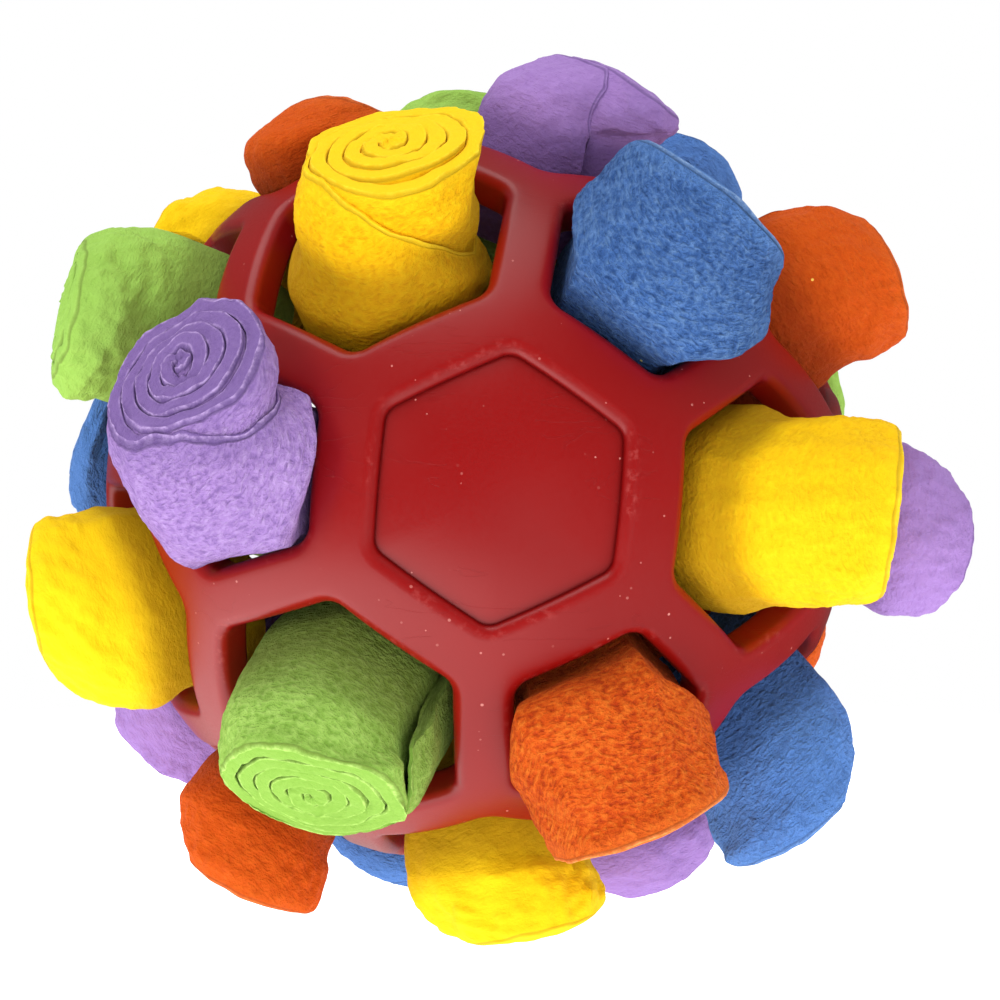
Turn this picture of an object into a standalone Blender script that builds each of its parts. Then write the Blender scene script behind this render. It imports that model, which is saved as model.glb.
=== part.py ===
# Snuffle ball: a hollow rubber lattice ball whose holes hold rolled fleece strips.
# Metres, +Z up. The closed front panel faces -Y, and the ball rests on its lowest rolls at z = 0.

import itertools
import math

import bmesh
import bpy
from mathutils import Vector

# Rubber ball
ball_radius = 0.057
wall_thickness = 0.0052
bar_width = 0.0083
hole_corner_radius = 0.003
edge_rounding = 0.0013
ball_turn = math.radians(5)
floor_clearance = 0.0088

# Closed panels in the front and the back of the ball
panel_bar_width = 0.0064
panel_corner_radius = 0.0026
panel_step_width = 0.0023
panel_depth = 0.0016

# Fleece rolls
roll_radius = 0.0121
roll_depth = 0.0165
strip_thickness = 0.0022
roll_end_rounding = 0.0022
roll_clearance = 0.0004
foot_flat_depth = 0.0005

# Form of a roll, as shares of its own sizes
corner_stretch_share = 0.16
inner_end_share = 0.8
neck_share = 1.09
swell_share = 1.03
tip_share = 0.85
lean_pivot_share = 0.9
tilt_share = 0.75
panel_ring_shares = (0.68, 0.34)

# Counts
points_round_a_roll = 14
settling_steps = 6
weld_distance = 0.000002

# A lattice corner lies a third of the way along an icosahedron's edge. The rings of holes end at these
# shares of the half turn from the front of the ball to its back.
lattice_corner_share = 1 / 3
ring_limit_shares = (0.28, 0.47, 0.67, 1)
ring_names = ("front", "fore", "aft", "back")

colours = {
    "red": (0.40, 0.022, 0.020),
    "yellow": (0.93, 0.62, 0.015),
    "blue": (0.085, 0.235, 0.60),
    "orange": (0.72, 0.115, 0.012),
    "green": (0.32, 0.60, 0.075),
    "purple": (0.43, 0.26, 0.68),
}

# One row for each roll, ring by ring from the front, clockwise from the top as seen from the front.
# The roll's tip is set in shares of the ball's radius: its shift away from the front, its shift
# clockwise, and its height above the ball's centre. The last two are the roll's girth as a share of
# roll_radius and the strip's outer end as a share of a turn. None as height is for a roll that the ball
# stands on: its height follows the floor.
roll_shares = {
    "front": (
        ("blue", 0.20, 0.01, 1.13, 1.05, 0.30),
        ("yellow", 0.19, -0.02, 1.18, 1.03, 0.60),
        ("orange", 0.20, 0.02, 1.13, 1.04, 0.10),
        ("green", 0.02, -0.05, 1.17, 1.02, 0.75),
        ("purple", -0.02, 0.23, 1.21, 0.98, 0.40),
        ("yellow", 0.07, 0.12, 1.16, 1.00, 0.15),
    ),
    "fore": (
        ("purple", -0.03, 0.12, 1.14, 0.98, 0.25),
        ("orange", 0.05, 0.09, 1.21, 0.98, 0.55),
        ("purple", 0.08, 0.04, 1.25, 1.02, 0.80),
        ("blue", -0.03, 0.11, 1.21, 0.98, 0.35),
        ("yellow", -0.04, -0.07, None, 1.05, 0.65),
        ("orange", -0.05, -0.08, 1.21, 0.94, 0.90),
        ("yellow", 0.00, 0.04, 1.21, 1.04, 0.20),
        ("green", -0.09, -0.09, 1.17, 0.98, 0.45),
        ("orange", 0.02, 0.06, 1.12, 0.99, 0.70),
    ),
    "aft": (
        ("blue", -0.03, -0.09, 1.16, 0.97, 0.05),
        ("green", -0.02, -0.04, 1.13, 0.98, 0.50),
        ("orange", 0.00, -0.04, 1.13, 0.98, 0.85),
        ("purple", 0.04, -0.06, None, 0.97, 0.30),
        ("blue", 0.03, -0.09, None, 0.95, 0.60),
        ("purple", -0.02, -0.12, 1.23, 0.98, 0.10),
        ("blue", -0.04, 0.08, 1.10, 0.94, 0.40),
        ("yellow", -0.05, -0.09, 1.20, 0.97, 0.75),
        ("green", -0.05, 0.01, 1.18, 0.98, 0.95),
    ),
    "back": (
        ("yellow", 0.03, 0.04, 1.20, 1.00, 0.35),
        ("blue", 0.04, -0.03, 1.17, 0.98, 0.65),
        ("green", -0.05, 0.02, 1.19, 1.02, 0.15),
        ("orange", -0.03, 0.05, 1.20, 1.00, 0.55),
        ("green", 0.05, -0.04, 1.22, 0.99, 0.80),
        ("purple", -0.03, -0.02, 1.18, 1.01, 0.05),
    ),
}

# Worked out from the sizes above
inner_radius = ball_radius - wall_thickness
stand_height = ball_radius + floor_clearance


def clear_scene():
    for thing in list(bpy.data.objects):
        bpy.data.objects.remove(thing, do_unlink=True)


def make_material(name, colour, roughness):
    material = bpy.data.materials.new(name)
    material.use_nodes = True
    shader = material.node_tree.nodes["Principled BSDF"]
    shader.inputs["Base Color"].default_value = (*colour, 1)
    shader.inputs["Roughness"].default_value = roughness
    shader.inputs["Metallic"].default_value = 0
    return material


def direction(polar, azimuth):
    # polar is counted from the front, -Y, and azimuth from +X towards +Z
    across = math.sin(polar)
    return Vector((across * math.cos(azimuth), -math.cos(polar), across * math.sin(azimuth)))


def icosahedron_corners():
    # One of the icosahedron's faces looks to the front, so its corners lie in four rings of three.
    near = math.acos(math.sqrt((5 + 2 * math.sqrt(5)) / 15))
    far = math.acos(math.sqrt((5 - 2 * math.sqrt(5)) / 15))
    third = math.tau / 3
    rings = ((near, third / 2), (far, 0), (math.pi - far, third / 2), (math.pi - near, 0))
    return [
        direction(polar, start + step * third - ball_turn)
        for polar, start in rings
        for step in range(3)
    ]


class Face:
    # One hexagon or pentagon of the lattice, with its own flat axes: clockwise, away and out.
    def __init__(self, corners):
        middle = sum(corners, Vector()) / len(corners)
        self.out = middle.normalized()
        self.height = middle.length
        self.sides = len(corners)
        front = Vector((0, 1, 0))
        sideways = front.cross(self.out)
        is_panel = sideways.length < weld_distance
        self.is_panel = is_panel
        self.clockwise = Vector((1, 0, 0)) if is_panel else sideways.normalized()
        self.away = self.out.cross(self.clockwise)
        first = corners[0] - middle
        self.turn = math.atan2(first.dot(self.away), first.dot(self.clockwise))
        self.apothem = first.length * math.cos(math.pi / self.sides)

    def lift(self, point, radius):
        # a flat point of the face, pushed along its line through the ball's centre
        flat = self.out * self.height + self.clockwise * point.x + self.away * point.y
        return flat.normalized() * radius

    def at(self, distance, angle):
        return Vector((distance * math.cos(angle), distance * math.sin(angle)))

    def border(self):
        # the lattice polygon itself: beside each corner, the corner, beside it, and mid side
        half = math.pi / self.sides
        reach = self.apothem / math.cos(half)
        points = []
        for corner in range(self.sides):
            angle = self.turn + 2 * half * corner
            here = self.at(reach, angle)
            before = self.at(reach, angle - 2 * half)
            after = self.at(reach, angle + 2 * half)
            points.append(here.lerp(before, corner_stretch_share))
            points.append(here)
            points.append(here.lerp(after, corner_stretch_share))
            points.append(here.lerp(after, 0.5))
        return points

    def outline(self, inset, corner_radius):
        # the same points on a smaller polygon whose corners are arcs
        half = math.pi / self.sides
        apothem = self.apothem - inset
        arc_centre = (apothem - corner_radius) / math.cos(half)
        points = []
        for corner in range(self.sides):
            angle = self.turn + 2 * half * corner
            middle = self.at(arc_centre, angle)
            for turn in (-half, 0, half):
                points.append(middle + self.at(corner_radius, angle + turn))
            points.append(self.at(apothem, angle + half))
        return points

    def hole_radius(self, radius):
        # half the hole's width across its flats, where the hole meets the sphere of this radius
        flat = self.apothem - bar_width / 2
        return flat * radius / math.hypot(flat, self.height)

    def hole_height(self, radius):
        flat = self.apothem - bar_width / 2
        return self.height * radius / math.hypot(flat, self.height)


def lattice_faces():
    # Pentagons lie round the icosahedron's corners and hexagons over its faces. Two of its corners
    # are neighbours if they are less than a right angle apart.
    tops = icosahedron_corners()

    def neighbours(a, b):
        return a is not b and a.dot(b) > 0

    def lattice_corner(a, b):
        point = a.lerp(b, lattice_corner_share)
        return point * (ball_radius / point.length)

    faces = [Face([lattice_corner(a, b) for b in tops if neighbours(a, b)]) for a in tops]
    for three in itertools.combinations(tops, 3):
        if all(neighbours(a, b) for a, b in itertools.combinations(three, 2)):
            faces.append(Face([lattice_corner(a, b) for a, b in itertools.permutations(three, 2)]))
    return faces


def polar_share(face):
    return math.acos(-face.out.y) / math.pi


def clock_angle(face):
    return math.atan2(face.out.x, face.out.z) % math.tau


def sort_holes(faces):
    # four rings of holes behind the front panel, each clockwise from the top
    rings = {name: [] for name in ring_names}
    for face in faces:
        if face.is_panel:
            continue
        place = next(i for i, limit in enumerate(ring_limit_shares) if polar_share(face) < limit)
        rings[ring_names[place]].append(face)
    for ring in rings.values():
        ring.sort(key=clock_angle)
    return rings


def add_ring(mesh, points):
    return [mesh.verts.new(point) for point in points]


def bridge(mesh, first, second):
    for i in range(len(first)):
        j = (i + 1) % len(first)
        mesh.faces.new((first[i], first[j], second[j], second[i]))


def add_strips(mesh, rings):
    loops = [add_ring(mesh, ring) for ring in rings]
    for first, second in zip(loops, loops[1:]):
        bridge(mesh, first, second)
    return loops


def add_hole(mesh, face):
    # from the bars' middle line over the rounded edge, down the wall and back along the inside
    half = bar_width / 2
    top = face.outline(half - edge_rounding, hole_corner_radius + edge_rounding)
    wall = face.outline(half, hole_corner_radius)
    rings = [
        [face.lift(point, ball_radius) for point in face.border()],
        [face.lift(point, ball_radius) for point in top],
        [face.lift(point, ball_radius - edge_rounding) for point in wall],
        [face.lift(point, inner_radius) for point in wall],
        [face.lift(point, inner_radius) for point in face.border()],
    ]
    add_strips(mesh, rings)


def add_panel(mesh, face):
    # a closed face: its outside steps down to a domed panel, its inside stays level with the wall
    half = panel_bar_width / 2
    edge = face.outline(half, panel_corner_radius)
    foot = face.outline(half + panel_step_width, panel_corner_radius)
    panel_radius = ball_radius - panel_depth
    outside = [
        [face.lift(point, ball_radius) for point in face.border()],
        [face.lift(point, ball_radius) for point in edge],
        [face.lift(point, panel_radius) for point in foot],
    ]
    inside = [[face.lift(point, inner_radius) for point in face.border()]]
    for share in panel_ring_shares:
        outside.append([face.lift(point * share, panel_radius) for point in foot])
        inside.append([face.lift(point * share, inner_radius) for point in face.border()])
    for rings, radius in ((outside, panel_radius), (inside, inner_radius)):
        last = add_strips(mesh, rings)[-1]
        middle = mesh.verts.new(face.out * radius)
        for i in range(len(last)):
            mesh.faces.new((last[i], last[(i + 1) % len(last)], middle))


def finish_mesh(name, mesh, material, sharp_angle):
    bmesh.ops.recalc_face_normals(mesh, faces=mesh.faces)
    data = bpy.data.meshes.new(name)
    mesh.to_mesh(data)
    mesh.free()
    data.materials.append(material)
    data.shade_smooth()
    data.set_sharp_from_angle(angle=sharp_angle)
    return data


def place(name, data, location, parent):
    thing = bpy.data.objects.new(name, data)
    bpy.context.collection.objects.link(thing)
    thing.parent = parent
    thing.location = location
    return thing


def make_ball(faces, material, parent):
    mesh = bmesh.new()
    for face in faces:
        if face.is_panel:
            add_panel(mesh, face)
        else:
            add_hole(mesh, face)
    bmesh.ops.remove_doubles(mesh, verts=mesh.verts, dist=weld_distance)
    data = finish_mesh("rubber_ball", mesh, material, math.radians(35))
    return place("rubber_ball", data, Vector(), parent)


def snail(centre, axis, across, radius, seam):
    # the strip's outer turn: its radius shrinks by one strip over the turn, then steps back out
    side = (across - axis * across.dot(axis)).normalized()
    up = axis.cross(side)
    points = []
    for i in range(points_round_a_roll + 1):
        turned = i / points_round_a_roll
        angle = math.tau * (seam + turned)
        reach = radius + strip_thickness * (0.5 - turned)
        points.append(centre + (side * math.cos(angle) + up * math.sin(angle)) * reach)
    return points


def roll_rings(face, away_share, clockwise_share, height_share, girth_share, seam_share):
    radius = roll_radius * girth_share
    spare = roll_clearance + strip_thickness / 2
    plug_radius = face.hole_radius(inner_radius) - spare
    neck_radius = min(radius * neck_share, face.hole_radius(ball_radius) - spare)
    inner_end = ball_radius - roll_depth
    sideways = face.away * away_share + face.clockwise * clockwise_share

    def straight(height, girth):
        return snail(face.out * height, face.out, face.clockwise, girth, seam_share)

    rings = [
        straight(inner_end, plug_radius * inner_end_share),
        straight(inner_end + roll_end_rounding, plug_radius),
        straight(face.hole_height(inner_radius), plug_radius),
        straight(ball_radius, neck_radius),
    ]

    # Outside the ball the roll follows a curve that leaves the hole straight and bends to the tip.
    start = face.out * ball_radius
    tip = face.out * (ball_radius * height_share) + sideways * ball_radius
    rise = ball_radius * (height_share - 1)
    bend = start + face.out * (rise / 2)
    pivot = face.out * (ball_radius * lean_pivot_share)
    lean = face.out.lerp((tip - pivot).normalized(), tilt_share).normalized()
    rounding = roll_end_rounding / rise
    for along, girth in ((0.5, swell_share), (1 - rounding, 1), (1, tip_share)):
        centre = start.lerp(bend, along).lerp(bend.lerp(tip, along), along)
        axis = face.out.lerp(lean, along).normalized()
        rings.append(snail(centre, axis, face.clockwise, radius * girth, seam_share))
    return rings


def floor_height_share(face, away_share, clockwise_share, girth_share, seam_share):
    # lengthen or shorten the roll until its lowest point lies just below the floor
    share = stand_height / ball_radius
    for step in range(settling_steps):
        rings = roll_rings(face, away_share, clockwise_share, share, girth_share, seam_share)
        lowest = min(point.z for ring in rings for point in ring)
        share += (lowest + stand_height + foot_flat_depth) / ball_radius
    return share


def make_roll(name, face, row, material, parent):
    away_share, clockwise_share, height_share, girth_share, seam_share = row
    is_foot = height_share is None
    if is_foot:
        height_share = floor_height_share(face, away_share, clockwise_share, girth_share, seam_share)
    rings = roll_rings(face, away_share, clockwise_share, height_share, girth_share, seam_share)
    origin = face.out * ball_radius
    mesh = bmesh.new()
    loops = add_strips(mesh, [[point - origin for point in ring] for ring in rings])
    mesh.faces.new(loops[0])
    mesh.faces.new(loops[-1])
    if is_foot:
        floor = Vector((0, 0, -stand_height)) - origin
        parts = mesh.verts[:] + mesh.edges[:] + mesh.faces[:]
        cut = bmesh.ops.bisect_plane(
            mesh, geom=parts, dist=weld_distance, plane_co=floor, plane_no=(0, 0, -1), clear_outer=True
        )
        edges = [part for part in cut["geom_cut"] if isinstance(part, bmesh.types.BMEdge)]
        bmesh.ops.holes_fill(mesh, edges=edges)
    data = finish_mesh(name, mesh, material, math.radians(50))
    return place(name, data, origin, parent)


def centre_over_floor(ball_centre, things):
    # the model's origin is under the middle of its box, on the floor
    corners = [thing.location + vertex.co for thing in things for vertex in thing.data.vertices]
    middle_x = (min(c.x for c in corners) + max(c.x for c in corners)) / 2
    middle_y = (min(c.y for c in corners) + max(c.y for c in corners)) / 2
    ball_centre.location = (-middle_x, -middle_y, stand_height)


def main():
    clear_scene()
    rubber = make_material("red rubber", colours["red"], 0.42)
    fleece = {
        colour: make_material(f"{colour} fleece", colours[colour], 0.95)
        for colour in ("yellow", "blue", "orange", "green", "purple")
    }
    ball_centre = place("ball_centre", None, Vector(), None)
    faces = lattice_faces()
    things = [make_ball(faces, rubber, ball_centre)]
    for ring_name, ring in sort_holes(faces).items():
        for number, (face, row) in enumerate(zip(ring, roll_shares[ring_name]), start=1):
            colour = row[0]
            name = f"{ring_name}_roll_{number}_{colour}"
            things.append(make_roll(name, face, row[1:], fleece[colour], ball_centre))
    centre_over_floor(ball_centre, things)
    print(len(things), "pieces,", sum(len(thing.data.polygons) for thing in things), "faces")


main()
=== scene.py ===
import itertools
import math

import bmesh
import bpy
import numpy as np
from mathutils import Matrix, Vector


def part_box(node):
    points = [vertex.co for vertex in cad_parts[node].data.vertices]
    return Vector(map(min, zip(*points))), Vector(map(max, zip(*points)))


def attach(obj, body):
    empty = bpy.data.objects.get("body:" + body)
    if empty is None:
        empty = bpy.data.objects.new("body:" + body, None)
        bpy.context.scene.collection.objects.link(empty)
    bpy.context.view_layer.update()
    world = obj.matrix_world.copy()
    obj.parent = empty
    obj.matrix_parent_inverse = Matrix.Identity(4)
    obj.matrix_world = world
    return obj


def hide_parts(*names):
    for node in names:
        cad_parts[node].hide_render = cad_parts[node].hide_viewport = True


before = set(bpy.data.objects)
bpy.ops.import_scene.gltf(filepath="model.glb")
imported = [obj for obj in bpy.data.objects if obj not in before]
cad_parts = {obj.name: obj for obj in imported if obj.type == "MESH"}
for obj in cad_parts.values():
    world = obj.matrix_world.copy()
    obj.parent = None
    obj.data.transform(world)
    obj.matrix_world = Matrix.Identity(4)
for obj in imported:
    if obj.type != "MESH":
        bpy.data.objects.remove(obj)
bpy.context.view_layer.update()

# Snuffle ball: a red rubber lattice ball with a rolled fleece strip in each of its thirty holes.
# Metres, +Z up. The closed panel faces -Y. A roll's place comes from its hole's own face of the lattice.

lowest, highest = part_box("rubber_ball")
ballCentre = np.array((lowest + highest) / 2)


def screen(red, green, blue):
    # a colour as it looks on screen, 0 to 255, turned into the linear values that a shader takes
    shown = np.array([red, green, blue]) / 255
    linear = np.where(shown > 0.04045, ((shown + 0.055) / 1.055) ** 2.4, shown / 12.92)
    return (*linear.tolist(), 1.0)


def smooth(x):
    # 0 below 0, 1 above 1, and an S curve between
    x = np.clip(x, 0, 1)
    return x * x * (3 - 2 * x)


def eased(x, low, high):
    # the same curve from low to high
    return smooth((x - low) / (high - low))


def softWaves(points, size, seed, count=18):
    # a smooth random field: a sum of sine waves in random directions, about one size long
    dice = np.random.default_rng(seed)
    way = dice.normal(size=(3, count))
    way *= 2 * math.pi / size / np.linalg.norm(way, axis=0) * dice.uniform(0.7, 1.4, count)
    phase = dice.uniform(0, 2 * math.pi, count)
    return np.sin(points @ way + phase).sum(-1) * math.sqrt(2 / count)


def loopWaves(turn, size, seed, count=9):
    # the same along one line, for a value that wanders as the strip winds
    dice = np.random.default_rng(seed)
    rate = 2 * math.pi / size * dice.uniform(0.5, 1.6, count)
    phase = dice.uniform(0, 2 * math.pi, count)
    return np.sin(turn[..., None] * rate + phase).sum(-1) * math.sqrt(2 / count)


def node(tree, kind, sockets=None, **settings):
    # a shader node whose sockets, by name or number, are set or linked
    made = tree.nodes.new(kind)
    for key, value in settings.items():
        setattr(made, key, value)
    for key, value in (sockets or {}).items():
        if isinstance(value, bpy.types.NodeSocket):
            tree.links.new(value, made.inputs[key])
        else:
            made.inputs[key].default_value = value
    return made


def mixed(factor, first, second):
    # a colour mix; sockets 6 and 7 are its two colours, and output 2 is the colour
    sockets = {0: factor, 6: first, 7: second}
    return node(factor.id_data, "ShaderNodeMix", sockets, data_type="RGBA").outputs[2]


def sums(kind, *values):
    # one step of arithmetic, in the tree that a linked value comes from
    tree = next(value.id_data for value in values if isinstance(value, bpy.types.NodeSocket))
    return node(tree, "ShaderNodeMath", dict(enumerate(values)), operation=kind).outputs[0]


def product(first, second):
    # one value times another
    return sums("MULTIPLY", first, second)


def ranged(value, fromLow, fromHigh, low, high, curve="LINEAR"):
    # a value carried from one range to another; sockets 1 to 4 are the ends of the two
    sockets = {"Value": value, 1: fromLow, 2: fromHigh, 3: low, 4: high}
    return node(value.id_data, "ShaderNodeMapRange", sockets, interpolation_type=curve).outputs[0]


def layered(colour, factors, shares, look):
    # further colours over one another, each as far as its factor and its share say
    for key, factor in factors.items():
        colour = mixed(product(factor, shares[key]), colour, look[key])
    return colour


def noise(place, scale, detail=2, roughness=0.5, distortion=0.0):
    # a noise field's value, with a feature every 1 / scale
    sockets = {"Vector": place, "Scale": scale, "Detail": detail, "Roughness": roughness}
    sockets = sockets | {"Distortion": distortion}
    return node(place.id_data, "ShaderNodeTexNoise", sockets).outputs["Fac"]


def cells(place, scale):
    # random cells: the distance from each one's middle, then three random values for it
    sockets = {"Vector": place, "Scale": scale, "Randomness": 1}
    made = node(place.id_data, "ShaderNodeTexVoronoi", sockets).outputs
    return made["Distance"], *node(place.id_data, "ShaderNodeSeparateColor", {0: made["Color"]}).outputs


def attribute(tree, name):
    # a piece's own value at each point
    return node(tree, "ShaderNodeAttribute", attribute_name=name).outputs["Fac"]


def startMaterial(name):
    # a new material with its nodes and its shader
    material = bpy.data.materials.new(name)
    material.use_nodes = True
    return material, material.node_tree, material.node_tree.nodes["Principled BSDF"]


camera = {
    "place": (-0.012786, -0.264505, -0.001937),      # from the ball's centre
    "turn": (90.187, -0.067, -3.474),
    "lens": 60.763,
    "sensor": 36,
}

lensData = bpy.data.cameras.new("camera")
lensData.lens, lensData.sensor_width = camera["lens"], camera["sensor"]
lensData.clip_start, lensData.clip_end = 0.01, 50
eye = bpy.data.objects.new("camera", lensData)
eye.location = ballCentre + np.array(camera["place"])
eye.rotation_euler = [math.radians(a) for a in camera["turn"]]
bpy.context.scene.collection.objects.link(eye)
bpy.context.scene.camera = eye
print("camera set")


ball = {
    "radius": 0.057, "wall": 0.0052, "turn": math.radians(5),
    "bar": 0.0083, "corner": 0.003,                  # bar width, and the holes' corner radius
    "edge": 0.0017, "innerEdge": 0.0008,             # rounding outside and inside
    "panelBar": 0.0064, "panelCorner": 0.0024,
    "stepWidth": 0.0019, "stepDrop": 0.0015,         # the rounded shoulder round the closed panel
    "dome": 0.0006,
    "straightSteps": 5, "arcSteps": 5, "cornerShare": 0.2,
}
ball["inside"] = ball["radius"] - ball["wall"]


def direction(polar, azimuth):
    # polar from the front of the ball, azimuth round it
    across = math.sin(polar)
    return np.array([across * math.cos(azimuth), -math.cos(polar), across * math.sin(azimuth)])


def latticeFaces():
    # pentagons lie round the icosahedron's corners, hexagons over its faces
    near = math.acos(math.sqrt((5 + 2 * math.sqrt(5)) / 15))
    far = math.acos(math.sqrt((5 - 2 * math.sqrt(5)) / 15))
    third = math.tau / 3
    rings = ((near, third / 2), (far, 0), (math.pi - far, third / 2), (math.pi - near, 0))
    tops = [
        direction(polar, start + step * third - ball["turn"])
        for polar, start in rings for step in range(3)
    ]

    def corner(a, b):       # a third of the way along an edge, pushed out to the ball
        point = (2 * tops[a] + tops[b]) / 3
        return point * ball["radius"] / np.linalg.norm(point)

    pairs = [(a, b) for a in range(12) for b in range(12) if a != b and tops[a] @ tops[b] > 0]
    shapes = [[corner(a, b) for a, b in pairs if a == top] for top in range(12)]
    for three in itertools.combinations(range(12), 3):
        if all(pair in pairs for pair in itertools.combinations(three, 2)):
            shapes.append([corner(a, b) for a, b in itertools.permutations(three, 2)])
    return [faceFrame(np.array(corners)) for corners in shapes]


def faceFrame(corners):
    # a face's own axes: clockwise as seen from the front, away from the front, and out
    middle = corners.mean(0)
    out = middle / np.linalg.norm(middle)
    sideways = np.cross((0, 1, 0), out)
    isPanel = np.linalg.norm(sideways) < 1e-5
    clockwise = np.array([1.0, 0, 0]) if isPanel else sideways / np.linalg.norm(sideways)
    away = np.cross(out, clockwise)
    first = corners[0] - middle
    return {
        "out": out, "clockwise": clockwise, "away": away, "isPanel": isPanel,
        "height": np.linalg.norm(middle), "sides": len(corners),
        "start": math.atan2(first @ away, first @ clockwise),
        "apothem": np.linalg.norm(first) * math.cos(math.pi / len(corners)),
    }


def sideLine(face, x, y):
    # one side's points, turned into all the face's sides
    half = math.pi / face["sides"]
    side = face["start"] + half + 2 * half * np.arange(face["sides"])[:, None]
    points = np.stack([x * np.cos(side) - y * np.sin(side), x * np.sin(side) + y * np.cos(side)], -1)
    return points.reshape(-1, 2)


def sideSteps(face):
    # a side's points run along half a corner's arc, the straight and half of the next corner's arc
    straightSteps, arcSteps = ball["straightSteps"], ball["arcSteps"]
    step = np.arange(-straightSteps - arcSteps, straightSteps + arcSteps)
    straight = np.clip(step / straightSteps, -1, 1)
    arc = np.sign(step) * np.maximum(np.abs(step) - straightSteps, 0) / arcSteps * math.pi / face["sides"]
    return straight, arc


def outline(face, inset, corner):
    # a smaller polygon whose corners are arcs: each side lies at the apothem less the inset
    straight, arc = sideSteps(face)
    reach = face["apothem"] - inset - corner
    alongSide = reach * math.tan(math.pi / face["sides"]) * straight + corner * np.sin(arc)
    return sideLine(face, reach + corner * np.cos(arc), alongSide)


def border(face):
    # the lattice polygon itself, with as many points
    straight, arc = sideSteps(face)
    half = math.pi / face["sides"]
    share = (1 - ball["cornerShare"]) * straight + ball["cornerShare"] * arc / half
    return sideLine(face, face["apothem"] + 0 * share, face["apothem"] * math.tan(half) * share)


def lift(face, points, radius):
    # flat points of the face, pushed along their lines through the ball's centre
    flat = points[..., :1] * face["clockwise"] + points[..., 1:] * face["away"]
    flat = face["out"] * face["height"] + flat
    return flat / np.linalg.norm(flat, axis=-1, keepdims=True) * radius


def holeRows(face):
    # from the bars' middle line over the rounded edge, down the wall, and back along the inside;
    # with each row goes how far it is an edge that rubs, and how far painted shade darkens it in the hole
    radius, inside, half = ball["radius"], ball["inside"], ball["bar"] / 2
    edge, innerEdge, corner = ball["edge"], ball["innerEdge"], ball["corner"]
    rim, middle = outline(face, half - edge, corner + edge), border(face)
    foot = outline(face, half - innerEdge, corner + innerEdge)
    rows = [lift(face, middle + (rim - middle) * share, radius) for share in np.linspace(0, 1, 5)]
    for turn in np.linspace(0, math.pi / 2, 9)[1:]:
        ease = 1 - math.sin(turn)
        around = outline(face, half - edge * ease, corner + edge * ease)
        rows.append(lift(face, around, radius - edge * (1 - math.cos(turn))))
    wall, wallTop, wallFoot = outline(face, half, corner), radius - edge, inside + innerEdge
    rows += [lift(face, wall, wallTop + (wallFoot - wallTop) * share) for share in np.linspace(0, 1, 5)[1:]]
    for turn in np.linspace(0, math.pi / 2, 5)[1:]:
        ease = 1 - math.cos(turn)
        around = outline(face, half - innerEdge * ease, corner + innerEdge * ease)
        rows.append(lift(face, around, inside + innerEdge * (1 - math.sin(turn))))
    rows += [lift(face, foot + (middle - foot) * share, inside) for share in np.linspace(0, 1, 4)[1:]]
    rub, grime = np.zeros(len(rows)), np.zeros(len(rows))
    rub[5:11] = (0.3, 0.7, 1, 1, 0.7, 0.3)
    # painted shade: the end of the edge's rounding, the wall and the inside are darker
    grime[11:] = 0.35
    return [(np.array(rows), rub, grime)]


def panelRows(face):
    # outside: level with the bars, over a quarter-round shoulder, and sharply onto the domed panel; the
    # inside is a plain round grid
    radius, half, middle = ball["radius"], ball["panelBar"] / 2, border(face)
    width, drop, corner = ball["stepWidth"], ball["stepDrop"], ball["panelCorner"]
    rim = outline(face, half, corner + width)
    rows = [lift(face, middle + (rim - middle) * share, radius) for share in np.linspace(0, 1, 5)]
    for turn in np.linspace(0, math.pi / 2, 13)[1:]:
        ease = math.sin(turn)
        around = outline(face, half + width * ease, corner + width * (1 - ease))
        rows.append(lift(face, around, radius - drop * (1 - math.cos(turn))))
    foot, floor = outline(face, half + width, corner), radius - drop
    for share in (0.992, 0.98, 0.96, 0.92, 0.86, 0.77, 0.65, 0.5, 0.34, 0.17, 0):
        rows.append(lift(face, foot * share, floor + ball["dome"] * (1 - share ** 2)))
    rub, grime = np.zeros(len(rows)), np.zeros(len(rows))
    rub[4:13] = (0.2, 0.5, 0.8, 1, 1, 1, 0.8, 0.5, 0.2)
    # painted shade round the crease at the shoulder's foot, fading onto the panel
    grime[13:21] = (0.2, 0.5, 0.9, 1, 0.9, 0.5, 0.2, 0.05)
    inside = [lift(face, middle * share, ball["inside"]) for share in (0, 0.2, 0.4, 0.6, 0.8, 1)]
    return [(np.array(rows), rub, grime), (np.array(inside), np.zeros(6), np.zeros(6))]


def closedGrid(rows):
    # quads of a grid whose columns close on themselves
    count, columns = rows.shape[:2]
    here = np.arange(count * columns).reshape(count, columns)
    beside = np.roll(here, -1, axis=1)
    return np.stack([here[:-1], here[1:], beside[1:], beside[:-1]], -1).reshape(-1, 4)


def addPiece(name, points, faces, material, merge=0.0, sharp=80, **values):
    # each of the values becomes an attribute, one number for each point; edges over sharp degrees stay sharp
    mesh = bpy.data.meshes.new(name)
    mesh.from_pydata(points, [], faces)
    for key, value in values.items():
        held = mesh.attributes.new(key, "FLOAT", "POINT").data
        held.foreach_set("value", value.astype(np.float32).ravel())
    if merge:
        work = bmesh.new()
        work.from_mesh(mesh)
        bmesh.ops.remove_doubles(work, verts=work.verts, dist=merge)
        work.to_mesh(mesh)
        work.free()
    mesh.materials.append(material)
    mesh.shade_smooth()
    mesh.set_sharp_from_angle(angle=math.radians(sharp))
    thing = bpy.data.objects.new(name, mesh)
    bpy.context.scene.collection.objects.link(thing)
    return thing


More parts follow.
